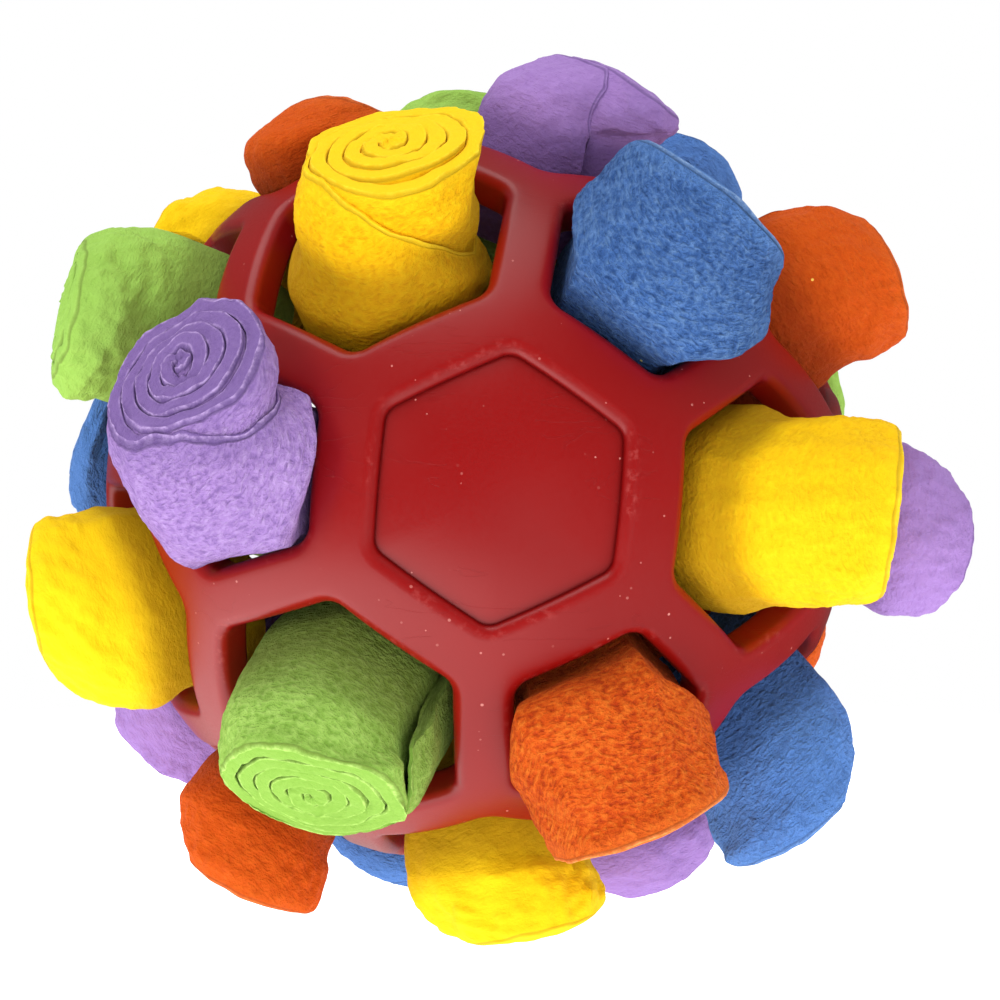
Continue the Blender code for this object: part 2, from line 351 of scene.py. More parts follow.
def rubberMaterial():
    # red with clouds in it, then painted crease shade, scuffs, scratches and dust over one another
    look = {
        "red": screen(154, 8, 7), "deep": screen(138, 5, 6), "worn": screen(196, 84, 80),
        # the darkest red is painted shade, for the panel's crease and the holes' walls
        "dust": screen(232, 150, 140), "grime": screen(92, 2, 3),
        "cloudScale": 38, "patchScale": 70, "grainScale": 2600, "scuffScale": 900, "speckScale": 700,
        "hairTurn": (0.3, 0.5, 0.9), "hairScale": (40, 260, 260), "hairWidth": 0.006, "hairPatches": 0.57,
        "speckSize": 0.15, "speckCells": 0.5, "speckPatches": 0.44, "speckFading": 1.5,
        "scuffs": (0.52, 0.66, 0, 1), "scuffPatches": (0.5, 0.66, 0.02, 0.4), "scuffRough": 0.2,
        "rough": (0.3, 0.7, 0.28, 0.38), "bump": 0.00003,
        "shares": {"grime": 0.8, "worn": 1, "deep": 0.4, "dust": 0.7},
    }
    material, tree, shader = startMaterial("moulded_red_rubber")
    place = node(tree, "ShaderNodeTexCoord").outputs["Object"]
    rub, grime = attribute(tree, "rub"), attribute(tree, "grime")
    cloud = noise(place, look["cloudScale"], 3)
    patch = noise(place, look["patchScale"], 1)
    grain = noise(place, look["grainScale"], 3, 0.6)

    # hair scratches: the lines where a stretched noise crosses its middle, in a few patches
    hair = {"Vector": place, "Rotation": look["hairTurn"], "Scale": look["hairScale"]}
    hair = noise(node(tree, "ShaderNodeMapping", hair).outputs[0], 1, distortion=0.6)
    scratch = sums("ABSOLUTE", sums("SUBTRACT", hair, 0.5))
    scratch = sums("LESS_THAN", scratch, look["hairWidth"])
    scratch = product(scratch, sums("GREATER_THAN", patch, look["hairPatches"]))

    # dust and lint specks, most of them faint: a random cell's being there, its size and its strength
    distance, isThere, size, strong = cells(place, look["speckScale"])
    size = product(size, look["speckSize"])
    speck = sums("LESS_THAN", distance, size)
    speck = product(speck, sums("GREATER_THAN", isThere, look["speckCells"]))
    speck = product(speck, sums("GREATER_THAN", patch, look["speckPatches"]))
    speck = product(speck, sums("POWER", strong, look["speckFading"]))

    # scuffs along the edges that rub on the floor
    scuffs = ranged(noise(place, look["scuffScale"], 4, 0.7), *look["scuffs"])
    where = ranged(patch, *look["scuffPatches"])
    scuffs = product(product(scuffs, where), rub)

    colour = mixed(cloud, look["deep"], look["red"])
    # painted shade goes over the clouds first, then scuffs, scratches and dust
    factors = {"grime": grime, "worn": scuffs, "deep": scratch, "dust": speck}
    colour = layered(colour, factors, look["shares"], look)
    tree.links.new(colour, shader.inputs["Base Color"])
    rough = ranged(grain, *look["rough"])
    rough = sums("ADD", rough, product(scuffs, look["scuffRough"]))
    tree.links.new(rough, shader.inputs["Roughness"])
    bump = sums("SUBTRACT", product(grain, 0.5), scratch)
    bump = node(tree, "ShaderNodeBump", {"Strength": 0.5, "Distance": look["bump"], "Height": bump})
    tree.links.new(bump.outputs[0], shader.inputs["Normal"])
    shader.inputs["Specular IOR Level"].default_value = 0.5
    return material


faces = latticeFaces()
ballParts, count = [], 0
for face in faces:
    for rows, rub, grime in panelRows(face) if face["isPanel"] else holeRows(face):
        columns = rows.shape[1]
        values = np.repeat(rub, columns), np.repeat(grime, columns)
        ballParts.append((rows.reshape(-1, 3), closedGrid(rows) + count, *values))
        count += rows.shape[0] * columns
ballPoints, ballFaces, ballRub, ballPaintedShade = (np.concatenate(part) for part in zip(*ballParts))
lattice = addPiece(
    "rubber_lattice", ballPoints + ballCentre, ballFaces, rubberMaterial(),
    merge=2e-6, sharp=55, rub=ballRub, grime=ballPaintedShade,
)
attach(lattice, "rubber_ball")
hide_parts("rubber_ball")
print("rubber lattice:", len(lattice.data.polygons), "faces")


# One row for each roll, ring by ring from the front, clockwise from the top as seen from the front:
# colour, then the tip's shift away from the front, its shift clockwise and its height above the ball's
# centre in shares of the ball's radius, then the girth and where the strip's outer end lies, in turns.
rollPlaces = {
    "front": (
        ("blue", 0.20, 0.01, 1.13, 1.05, 0.06), ("yellow", 0.19, -0.02, 1.18, 1.00, 0.42),
        ("orange", 0.20, 0.02, 1.13, 1.04, 0.10), ("green", 0.02, -0.05, 1.17, 1.02, 0.64),
        ("purple", -0.02, 0.23, 1.21, 0.98, 0.93), ("yellow", 0.07, 0.08, 1.16, 1.00, 0.97),
    ),
    "fore": (
        ("purple", -0.03, 0.12, 1.14, 0.98, 0.78), ("orange", 0.05, 0.09, 1.21, 0.98, 0.55),
        ("purple", 0.08, 0.04, 1.25, 1.02, 0.30), ("blue", -0.03, 0.11, 1.21, 0.98, 0.35),
        ("yellow", -0.04, -0.07, 1.1547, 1.05, 0.65), ("orange", -0.05, -0.08, 1.21, 0.94, 0.40),
        ("yellow", 0.00, 0.09, 1.21, 1.11, 0.20), ("green", -0.09, -0.06, 1.17, 0.98, 0.45),
        ("orange", 0.02, 0.19, 1.09, 0.98, 0.30),
    ),
    "aft": (
        ("blue", -0.03, -0.09, 1.16, 0.97, 0.05), ("green", -0.02, -0.04, 1.13, 0.98, 0.50),
        ("orange", 0.00, -0.04, 1.13, 0.98, 0.85), ("purple", 0.04, -0.06, 1.2306, 0.97, 0.30),
        ("blue", 0.03, -0.09, 1.1738, 0.95, 0.60), ("purple", -0.02, -0.12, 1.23, 0.98, 0.10),
        ("blue", -0.04, 0.08, 1.10, 0.94, 0.40), ("yellow", -0.05, -0.09, 1.20, 0.97, 0.75),
        ("green", -0.05, 0.01, 1.18, 0.98, 0.95),
    ),
    "back": (
        ("yellow", 0.03, 0.04, 1.20, 1.00, 0.35), ("blue", 0.04, -0.03, 1.17, 0.98, 0.65),
        ("green", -0.05, 0.02, 1.19, 1.02, 0.15), ("orange", -0.03, 0.05, 1.20, 1.00, 0.55),
        ("green", 0.05, -0.04, 1.22, 0.99, 0.80), ("purple", -0.03, -0.02, 1.18, 1.01, 0.05),
    ),
}

# How a strip is wound where it isn't plain:
# hand is the way round. slant keeps the outer edge down: from which turn it rises, over how many turns,
# from how deep and how bent. dome lifts the middle of the end. tilt leans the end face, by how much and
# towards which turn. longer draws the roll out. loose lets a turn stand off, how far and round which turn,
# and flare the outer end. tip is the end's girth and rounding. neck is the girth where the roll leaves its
# hole. swell is its largest girth and how far along that is. bulge spreads one side over the rubber, how
# far and towards which turn. fill is how far it takes the hole's corners. endShare is the outer end's
# thickness. pleats is how deep its lengthwise folds are. shaded is how far up the hole darkens it. crisp
# and brushed are how much its cut edges and its pile stand out. shift sets it sideways in its hole.
# The less brushed a roll, the more painted light it takes from its colour's lighter copy.
windings = {
    "front_1": {"hand": -1, "dome": -0.001, "tip": (0.87, 0.004), "tilt": (0.0036, 0.74),
        "longer": -0.0002, "flare": 0.0005, "endShare": 0.8, "neck": 1.2, "swell": (1.06, 0.4),
        "bulge": (0.003, 0.93), "fill": 1.1, "shaded": 0.003},
    # front_2 is less brushed, so part of its colour is painted light
    "front_2": {"dome": 0.0006, "tip": (0.9, 0.006), "fill": 0.3, "tilt": (0.0022, 0.7), "neck": 0.98,
        "swell": (1.00, 0.3), "pleats": 0.012, "brushed": 0.75},
    "front_3": {"dome": -0.0006, "tip": (0.99, 0.0012), "tilt": (0.0044, 0.75), "longer": -0.0004,
        "neck": 1.2, "swell": (1.04, 0.4), "bulge": (0.0034, 0.86), "fill": 1.3, "shift": 0.0005,
        "shaded": 0.003},
    "front_4": {"hand": -1, "dome": 0.0006, "loose": (0.0007, 0.78), "slant": (0, 0.16, 0.006, 1.3),
        "flare": 0.0016, "tip": (0.95, 0.0012), "tilt": (0.0028, 0.86), "longer": -0.0002,
        "endShare": 0.95, "shaded": 0.01},
    "front_5": {"hand": -1, "slant": (0, 0.36, 0.0115, 1.3), "dome": 0.001, "tip": (0.9, 0.004),
        "neck": 1.2, "swell": (1.03, 0.3), "bulge": (0.0036, 0.77), "fill": 1.4, "longer": -0.0012,
        "shaded": 0.003, "shift": -0.0008},
    "front_6": {"hand": -1, "slant": (0.05, 0.42, 0.016, 2.0), "dome": 0.001, "tip": (0.99, 0.0022),
        "neck": 0.93, "swell": (0.95, 0.4), "shift": 0.0019, "longer": -0.0012, "fill": 0.2},
    "fore_1": {"hand": -1, "slant": (0, 0.13, 0.011, 1.3), "dome": 0.001, "tilt": (0.003, 0.75)},
    "fore_2": {"tilt": (0.0026, 0.75), "longer": -0.0006},
    "fore_3": {"tilt": (0.0034, 0.75), "longer": -0.0008},
    "fore_4": {"tilt": (0.0036, 0.75), "longer": 0.0002},
    "fore_5": {"tilt": (0.004, 0.75), "swell": (1.1, 0.5), "longer": 0.0006},
    "fore_6": {"tilt": (0.0034, 0.75), "longer": -0.0008},
    "fore_7": {"tilt": (0.0036, 0.75), "longer": -0.001, "tip": (0.7, 0.0105), "neck": 1.2},
    "fore_8": {"tilt": (0.003, 0.8), "longer": 0.003},
    "fore_9": {"tilt": (0.003, 0.66), "longer": -0.0048},
    "aft_2": {"hand": -1, "slant": (0, 0.4, 0.008, 1.3), "dome": 0.001},
    "aft_5": {"slant": (0, 0.3, 0.006, 1.3), "dome": 0.0004},
    "back_1": {"slant": (0, 0.5, 0.012, 1.3), "dome": 0.0014, "tip": (0.92, 0.002)},
    "back_3": {"hand": -1, "loose": (0.001, 0.7), "dome": 0.0006, "tip": (0.95, 0.0012),
        "flare": 0.0012},
    "back_5": {"hand": -1, "slant": (0, 0.2, 0.007, 1.3), "dome": 0.0012, "tip": (0.92, 0.002)},
}

roll = {
    "radius": 0.0121, "thickness": 0.0022, "depth": 0.0165, "clearance": 0.0004,
    "innerEnd": 0.8, "innerRounding": 0.0022, "cutRounding": 0.0006,
    "pivot": 0.9, "tilt": 0.75,
    "eyeTurns": 0.12,                                # the strip stops this much short of the roll's middle
    "firstTurnSteps": 190, "turnSteps": 44,
    # how far the top edge, the foot and the ridges wander, and over how many turns
    "edgeWander": ((0.00016, 0.9), (0.00005, 0.11)), "footWander": (0.0004, 0.7),
    "ridgeWander": (0.5, 0.17), "ridgeHeight": 0.00018,
    "endThinning": 0.09, "edgeThinning": 0.75,       # over how many turns, and by what share of itself
    "edgeTurns": (0.05, 0.15), "bareSwell": 1.1,     # past the slant's end, and in thicknesses
    "packing": 0.98, "eyeShare": 0.004, "neckAbove": 0.001,
    "lobes": ((0.016, 2), (0.008, 3)),               # out of round: by how much, and how many lobes
    "holePleats": ((0.008, 11), (0.005, 17)), "pleatTwist": 60,
    "foldTurns": 0.09, "foldTwist": 3, "cornerDraw": 0.8, "looseSpread": 0.17, "flareTurns": 0.28,
    "bulgeSpread": 0.3, "bulgeFall": (0.2, 1), "bulgeNested": (0.3, 0.8),
    # how high and how long; the second of the dimples' heights comes off where the pile is brushed
    "lump": (0.00028, 0.0085), "dimple": (0.00019, 0.00010, 0.0026), "nub": (0.00006, 0.0013, 30),
    "lumpsAtMiddle": 0.12, "lumpsInside": 0.3, "floorSoftness": 0.0003, "gapShade": 0.8,
    # heights where a form eases in or out: above the ball's outside, or from the roll's whole length
    "holeEase": 0.008, "pleatsRise": (-0.004, 0), "pleatsFall": (0.002, 0.011), "foldsEnd": 0.006,
    "edgeEase": 0.005, "bareEase": 0.004, "looseRise": (-0.009, -0.002), "flareRise": (-0.005, 0.001),
    "bulgeRise": (-0.003, 0.003), "shiftRise": (-0.005, 0.002), "shadeFall": -0.001,
    "plain": {
        "hand": 1, "slant": (0, 0.1, 0.0, 1), "dome": 0.0008, "tilt": (0.0, 0.0), "longer": 0.0,
        "loose": (0.0, 0.5), "flare": 0.0, "tip": (0.74, 0.0085), "neck": 1.07, "swell": (1.07, 0.5),
        "bulge": (0.0, 0.5), "fill": 0.5, "endShare": 0.5, "pleats": 0.0, "shaded": 0.006,
        "crisp": 1, "brushed": 1, "shift": 0.0,
    },
    # the two middle rings: softer cut edges and pile, and the most painted light
    "soft": {"crisp": 0.3, "brushed": 0.45},         # the two middle rings
}


def holeRadius(face, radius):
    # half the hole's width at a radius, whose walls point at the ball's centre
    flat = face["apothem"] - ball["bar"] / 2
    return flat * radius / math.hypot(flat, face["height"])


def sectionLoop():
    # round the strip's section: up its outer face, over the cut edge, down its inner face, and back under
    # the other cut edge. Each point has its share across the thickness, its share of the width, its lift
    # in cut roundings, how much it belongs to the ridges along the cut edge's two borders, how much to
    # the cut, and how much to the gaps between the turns.
    up = np.concatenate([np.linspace(0, 0.42, 9, endpoint=False), np.linspace(0.42, 1, 36)])
    down = np.array([1, 0.97, 0.92, 0.82, 0.66, 0.44, 0.2, 0])
    over = [0.985, 0.94, 0.89, 0.84, 0.79, 0.72, 0.62, 0.44, 0.18]
    over = np.array(over + [-0.1, -0.38, -0.6, -0.74, -0.83, -0.92, -0.98])
    under = np.array([-0.7, 0, 0.7])
    onUp, onDown, onUnder = np.zeros_like(up), np.zeros_like(down), np.zeros_like(under)
    across = np.concatenate([onUp + 1, over, onDown - 1, under])
    along = np.concatenate([up, np.ones_like(over), down, onUnder])
    liftUp = np.concatenate([onUp, np.sqrt(1 - np.abs(over) ** 4), onDown, -np.sqrt(1 - under ** 2)])
    ridge = np.exp(-((over - 0.84) / 0.11) ** 2) + 0.6 * np.exp(-((over + 0.81) / 0.12) ** 2)
    ridge = np.concatenate([onUp, ridge, onDown, onUnder])
    cut = np.concatenate([0.4 * eased(up, 0.93, 0.99), np.ones_like(over), onDown, onUnder])
    gap = np.exp(-((1 - np.abs(over)) / 0.11) ** 2)
    gap = np.concatenate([onUp, gap, eased(down, 0.8, 1), onUnder])
    parts = {"across": across, "along": along, "lift": liftUp, "ridge": ridge, "cut": cut, "gap": gap}
    return {key: value[None, :] for key, value in parts.items()}


def rollFrame(face, place, wound):
    # the roll's middle line leaves its hole straight at start, bends and ends at tip. There it points
    # along lean, a share of the way from the hole's axis to the line from a pivot on it to the tip
    awayShare, clockwiseShare, heightShare, girthShare, seam = place
    radius, out, spare = ball["radius"], face["out"], roll["clearance"] + roll["thickness"] / 2
    start = out * radius
    tip = out * heightShare + face["away"] * awayShare + face["clockwise"] * clockwiseShare
    tip = tip * radius
    rise = radius * (heightShare - 1)
    bend = start + out * rise / 2
    lean = tip - out * radius * roll["pivot"]
    lean = out + (lean / np.linalg.norm(lean) - out) * roll["tilt"]
    outside = (rise / 2 + np.linalg.norm(tip - bend) + np.linalg.norm(tip - start)) / 2
    girth = roll["radius"] * girthShare
    return {
        "face": face, "wound": wound, "seam": seam,
        "start": start, "bend": bend, "tip": tip, "lean": lean / np.linalg.norm(lean),
        "outside": outside, "whole": roll["depth"] + outside + wound["longer"],
        "plug": holeRadius(face, ball["inside"]) - spare,
        "neck": min(girth * wound["neck"], holeRadius(face, radius) - spare),
        "girth": girth, "pitch": roll["thickness"] / (girth + roll["thickness"] / 2),
    }


def slantDrop(shape, turn):
    # how deep the slanted outer edge still lies at a turn
    slantStart, slantTurns, slantDepth, slantCurve = shape["wound"]["slant"]
    return slantDepth * np.clip((slantStart + slantTurns - turn) / slantTurns, 0, 1) ** slantCurve


def stripEdges(shape, turn, angle, seed):
    # the strip's bottom edge, its top edge, and how far the end's lean lifts each turn: the top is the
    # roll's length, the lean, a dome and a wander, less the slanted turns' drop
    wound, line = shape["wound"], turn[:, 0]
    share = 1 - turn * shape["pitch"]
    leanTo, leanTurn = wound["tilt"]
    leaning = leanTo * np.cos(angle[:, :1] - math.tau * leanTurn)
    (slow, slowTurns), (quick, quickTurns) = roll["edgeWander"]
    wander = slow * loopWaves(line, slowTurns, seed) + quick * loopWaves(line, quickTurns, seed + 1)
    top = shape["whole"] + leaning * share + wound["dome"] * (1 - share ** 2) + wander[:, None]
    top = top - slantDrop(shape, turn)
    footWander, footTurns = roll["footWander"]
    bottom = footWander * loopWaves(line, footTurns, seed + 2)[:, None]
    return bottom, top, leaning


def sectionHeights(wound, turn, bottom, top, section, seed):
    # height up the roll: from the bottom edge to the top by the section's share of the width, less the
    # cut's rounding at each, with the ridges on top
    ridgeWander, ridgeTurns = roll["ridgeWander"]
    ridgeHeight = 1 + ridgeWander * loopWaves(turn[:, 0], ridgeTurns, seed + 3)[:, None]
    ridgeHeight = roll["ridgeHeight"] * wound["crisp"] * ridgeHeight
    rounding = roll["cutRounding"]
    height = bottom + rounding + (top - bottom - 2 * rounding) * section["along"]
    return height + section["lift"] * rounding + section["ridge"] * ridgeHeight


def bundleGirth(shape, height, leaning):
    # the whole bundle's radius: eased from station to station, and rounded like a quarter ellipse at both
    # ends
    wound, radius, depth = shape["wound"], ball["radius"], roll["depth"]
    whole, outside, girth = shape["whole"], shape["outside"], shape["girth"]
    swell, swellAt = wound["swell"]
    stations = [0, roll["innerRounding"], ball["inside"] - (radius - depth), depth + roll["neckAbove"]]
    stations = np.array(stations + [depth + outside * swellAt, whole])
    girths = [shape["plug"], shape["plug"], shape["plug"], shape["neck"], girth * swell, girth]
    girths = np.array(girths) + roll["thickness"] / 2
    at = np.clip(np.searchsorted(stations, height, side="right") - 1, 0, len(stations) - 2)
    step = (height - stations[at]) / (stations[at + 1] - stations[at])
    step = np.where(at == len(stations) - 2, step, smooth(step))
    reach = girths[at] + (girths[at + 1] - girths[at]) * step
    tipShare, tipRounding = wound["tip"]
    rounded = np.clip((height - whole - leaning) / tipRounding + 1, 0, 1)
    reach *= 1 - (1 - tipShare) * (1 - np.sqrt(1 - rounded ** 2))
    rounded = np.clip(1 - height / roll["innerRounding"], 0, 1)
    return reach * (1 - (1 - roll["innerEnd"]) * (1 - np.sqrt(1 - rounded ** 2)))


def outOfRound(shape, height, angle, seed):
    # a factor for the bundle's radius: the hole's corners draw it out, its walls pleat it near the hole,
    # lengthwise folds run up it, and outside it is never quite round
    wound, face, above = shape["wound"], shape["face"], height - roll["depth"]
    half = math.pi / face["sides"]
    fromSide = (angle - face["start"]) % (2 * half) - half
    outsideShare = smooth(above / shape["outside"])
    ease = roll["holeEase"]
    inHole = eased(height, 0, ease) * (1 - eased(above, 0, ease))
    factor = 1 + wound["fill"] * inHole * roll["cornerDraw"] * (1 / np.cos(fromSide) - 1)
    first, second, third = np.random.default_rng(seed + 4).uniform(0, math.tau, 3)
    (oval, ovalLobes), (lobe, lobes) = roll["lobes"]
    oval = oval * np.cos(ovalLobes * angle + first) + lobe * np.cos(lobes * angle + second)
    factor *= 1 + outsideShare * oval
    (broad, broadCount), (fine, fineCount) = roll["holePleats"]
    pleats = broad * np.cos(broadCount * angle + third + roll["pleatTwist"] * height)
    pleats = pleats + fine * np.cos(fineCount * angle + second)
    factor *= 1 + pleats * eased(above, *roll["pleatsRise"]) * (1 - eased(above, *roll["pleatsFall"]))
    folds = math.sin(second) + angle / math.tau % 1 + roll["foldTwist"] * height
    folds = loopWaves(folds, roll["foldTurns"], seed + 7)
    folds = folds * outsideShare * eased(shape["whole"] - height, 0, roll["foldsEnd"])
    return factor * (1 + wound["pleats"] * folds)


def nestedShare(shape, turn, across, height, top, leaning):
    # a turn's share of the bundle's radius: 1 less one pitch for each turn, thinner at the outer end and
    # along a slanted edge, and a little wider where the outer wrap leaves it bare
    wound, pitch = shape["wound"], shape["pitch"]
    slantStart, slantTurns, slantDepth = wound["slant"][:3]
    slantEnd, slanted = slantStart + slantTurns, slantDepth > 0
    thin = wound["endShare"] + (1 - wound["endShare"]) * smooth(turn / roll["endThinning"])
    atEdge = (1 - eased(top - height, 0, roll["edgeEase"])) * slanted
    atEdge = atEdge * (1 - eased(turn - slantEnd, *roll["edgeTurns"]))
    thin = thin * (1 - roll["edgeThinning"] * atEdge)
    nested = 1 - pitch * (turn + 1 - thin * (1 + roll["packing"] * across) / 2)
    nested = np.maximum(nested, roll["eyeShare"])
    partTurn = turn % 1
    nextDrop = slantDepth * eased(partTurn, 5 / 6, 1)
    drop = np.where(partTurn < slantEnd, slantDrop(shape, partTurn), nextDrop)
    bare = eased(height - shape["whole"] - leaning + drop, 0, roll["bareEase"])
    return nested * (1 + roll["bareSwell"] * pitch * bare * (turn >= slantEnd) * slanted)


def standingOff(shape, turn, angle, height, nested):
    # added to the radius: a loose turn and a lifted outer end, both growing with the height, and a bulge
    # that spreads over the rubber towards one turn
    wound, above = shape["wound"], height - roll["depth"]
    looseBy, looseTurn = wound["loose"]
    off = looseBy * np.exp(-((turn - looseTurn) / roll["looseSpread"]) ** 2)
    off = off * eased(height - shape["whole"], *roll["looseRise"])
    flare = np.clip(1 - turn / roll["flareTurns"], 0, 1) ** 2
    off = off + wound["flare"] * flare * eased(above, *roll["flareRise"])
    bulgeBy, bulgeTurn = wound["bulge"]
    spread = np.exp((np.cos(angle - math.tau * bulgeTurn) - 1) / roll["bulgeSpread"])
    spread = spread * eased(above, *roll["bulgeRise"])
    spread = spread * (1 - eased(above / shape["outside"], *roll["bulgeFall"]))
    return off + bulgeBy * spread * eased(nested, *roll["bulgeNested"])


def bundlePoints(shape, height, angle, reach):
    # point = middle(height) + radial(angle) * reach: the middle runs along the bent line from start to
    # tip, and the section's axis turns from the hole's to the lean
    face, out, above = shape["face"], shape["face"]["out"], height - roll["depth"]
    start, bend, tip = shape["start"], shape["bend"], shape["tip"]
    beyond = np.clip(above / shape["outside"], 0, 1)[..., None]
    firstLeg, secondLeg = start + (bend - start) * beyond, bend + (tip - bend) * beyond
    axis = out + (shape["lean"] - out) * beyond
    axis /= np.linalg.norm(axis, axis=-1, keepdims=True)
    middle = firstLeg + (secondLeg - firstLeg) * beyond + out * np.minimum(above, 0)[..., None]
    middle = middle + axis * np.maximum(above - shape["outside"], 0)[..., None]
    shift = shape["wound"]["shift"] * eased(above, *roll["shiftRise"])
    middle = middle + face["clockwise"] * shift[..., None]
    side = face["clockwise"] - axis * (axis @ face["clockwise"])[..., None]
    side /= np.linalg.norm(side, axis=-1, keepdims=True)
    up = np.cross(axis, side)
    radial = side * np.cos(angle)[..., None] + up * np.sin(angle)[..., None]
    return middle + radial * reach[..., None] + ballCentre, radial


def softLumps(shape, points, height, nested, seed):
    # the fleece's lumps, dimples and nubs, smaller towards the middle and inside the ball
    brushed = shape["wound"]["brushed"]
    lump, lumpSize = roll["lump"]
    dimple, lessDimple, dimpleSize = roll["dimple"]
    nub, nubSize, nubCount = roll["nub"]
    lumps = lump * softWaves(points, lumpSize, seed + 5)
    lumps = lumps + (dimple - lessDimple * brushed) * softWaves(points, dimpleSize, seed + 6)
    lumps = lumps + nub * brushed * softWaves(points, nubSize, seed + 8, nubCount)
    few, fewer = roll["lumpsAtMiddle"], roll["lumpsInside"]
    lumps = lumps * (few + (1 - few) * smooth(nested * 2.2 - 1.2))
    return lumps * (fewer + (1 - fewer) * smooth((height - roll["depth"]) / shape["outside"]))


def rollStrip(face, place, winding, seed):
    # P(turn, section): the strip's radius falls by one thickness each turn, and the whole bundle follows
    # a line that leaves its hole straight and then bends
    wound = roll["plain"] | winding
    shape = rollFrame(face, place, wound)
    pitch = shape["pitch"]

    # columns are turns along the strip, finer on the outer wrap, until the strip meets the roll's middle
    turns = 1 / pitch - roll["eyeTurns"]
    firstTurn = np.linspace(0, 1, roll["firstTurnSteps"], endpoint=False)
    line = np.concatenate([firstTurn, np.linspace(1, turns, int((turns - 1) * roll["turnSteps"]))])
    turn = line[:, None]
    section = sectionLoop()
    angle = math.tau * (shape["seam"] + wound["hand"] * turn) + 0 * section["across"]

    bottom, top, leaning = stripEdges(shape, turn, angle, seed)
    height = sectionHeights(wound, turn, bottom, top, section, seed)
    nested = nestedShare(shape, turn, section["across"], height, top, leaning)
    reach = bundleGirth(shape, height, leaning) * outOfRound(shape, height, angle, seed)
    reach = reach * nested + standingOff(shape, turn, angle, height, nested)
    points, radial = bundlePoints(shape, height, angle, reach)
    points = points + radial * softLumps(shape, points, height, nested, seed)[..., None]
    points[..., 2] = (points[..., 2] + np.sqrt(points[..., 2] ** 2 + roll["floorSoftness"] ** 2)) / 2

    # distances along the strip and round its section, for its pattern, and how much the hole shades it
    distance = np.cumsum(np.diff(line) * math.tau * shape["girth"] * (1 - line[1:] * pitch))
    distance = np.concatenate([[0], distance])
    around = np.linalg.norm(np.diff(points, axis=1, append=points[:, :1]), axis=-1)
    around = np.concatenate([np.zeros_like(around[:, :1]), np.cumsum(around, axis=1)], axis=1)
    pattern = np.stack([np.broadcast_to(distance[:, None], around.shape), around], -1)
    shade = 1 - eased(height - roll["depth"], roll["shadeFall"], wound["shaded"])
    values = {
        "cut": section["cut"] * wound["crisp"] + 0 * height,
        "ridge": np.clip(section["ridge"], 0, 1) * wound["crisp"] + 0 * height,
        "shade": np.maximum(shade, roll["gapShade"] * section["gap"]),
        "brushed": wound["brushed"] + 0 * height,
    }
    return points, pattern, values, (shape["whole"], distance[-1])


def addRoll(name, points, pattern, values, material):
    # a strip from its grid of points: a closed tube of quads, a flat cap at each end, and its pattern
    columns, rows = points.shape[:2]
    quads = closedGrid(points)
    caps = [np.arange(rows)[::-1], (columns - 1) * rows + np.arange(rows)]
    corners = [pattern[:-1, :-1], pattern[1:, :-1], pattern[1:, 1:], pattern[:-1, 1:]]
    corners = np.stack(corners, -2).reshape(-1, 4, 2)
    ends = [pattern[0, :rows][::-1], pattern[-1, :rows]]
    a, b, c = (points.reshape(-1, 3)[quads[:, i]] - ballCentre for i in range(3))
    if (a * np.cross(b, c)).sum() < 0:      # the hand decides which way the grid faces
        quads, corners = quads[:, ::-1], corners[:, ::-1]
        caps, ends = [cap[::-1] for cap in caps], [end[::-1] for end in ends]
    faceList = quads.tolist() + [cap.tolist() for cap in caps]
    thing = addPiece(name, points.reshape(-1, 3), faceList, material, **values)
    strip = thing.data.uv_layers.new(name="strip")
    strip.data.foreach_set("uv", np.concatenate([corners.reshape(-1, 2), *ends]).astype(np.float32).ravel())
    return thing


# outer is a lighter copy of the colour, painted light for rolls whose pile is less brushed; relief how deep
# the pile is
fleeceColours = {
    "yellow": {"deep": (234, 168, 5), "base": (247, 188, 6), "light": (252, 202, 18),
        "cut": (252, 208, 26), "ridge": (255, 222, 50), "shade": (132, 88, 6), "lint": (255, 244, 190),
        "paintedLight": (255, 218, 20), "relief": 0.35},
    "blue": {"deep": (48, 86, 152), "base": (78, 122, 194), "light": (112, 154, 216),
        "cut": (100, 146, 212), "ridge": (160, 192, 236), "shade": (18, 34, 78), "lint": (240, 220, 96),
        "paintedLight": (96, 144, 220), "relief": 2.2},
    "orange": {"deep": (172, 52, 6), "base": (207, 81, 14), "light": (228, 112, 32),
        "cut": (240, 120, 44), "ridge": (252, 170, 100), "shade": (110, 26, 4), "lint": (255, 214, 96),
        "paintedLight": (207, 81, 14), "relief": 0.95},
    "green": {"deep": (120, 162, 59), "base": (145, 185, 81), "light": (166, 203, 100),
        "cut": (132, 176, 70), "ridge": (186, 226, 118), "shade": (80, 74, 26), "lint": (24, 30, 20),
        "paintedLight": (162, 208, 92), "relief": 0.55},
    "purple": {"deep": (138, 106, 172), "base": (163, 129, 195), "light": (181, 150, 209),
        "cut": (116, 90, 150), "ridge": (196, 168, 222), "shade": (62, 38, 94), "lint": (240, 226, 246),
        "paintedLight": (160, 121, 190), "relief": 0.7},
}

# features per metre, where the ramp's colours lie, and what share each thing has of the colour or relief
pile = {
    "combed": (980, 1700, 1), "combedNoise": (3, 0.55, 0.4), "nubs": (1050, 3, 0.6), "patchScale": 130,
    "fibreScale": 5200, "lintScale": 190, "lintSize": 0.045, "lintFrom": 0.955,
    "stops": {"deep": 0.38, "base": 0.49, "light": 0.62},
    "nubShare": 0.5, "patchShare": 0.12, "ridgeWear": (0.42, 0.62, 0.25, 1),
    "shares": {"paintedLight": 1, "cut": 0.85, "ridge": 1, "shade": 0.6, "lint": 1},
    "relief": 0.0020, "cutRelief": 0.65, "fibreRelief": 0.08,
    "surface": {
        "Roughness": 0.95, "Specular IOR Level": 0.2, "Sheen Weight": 0.25, "Sheen Roughness": 0.45,
    },
}


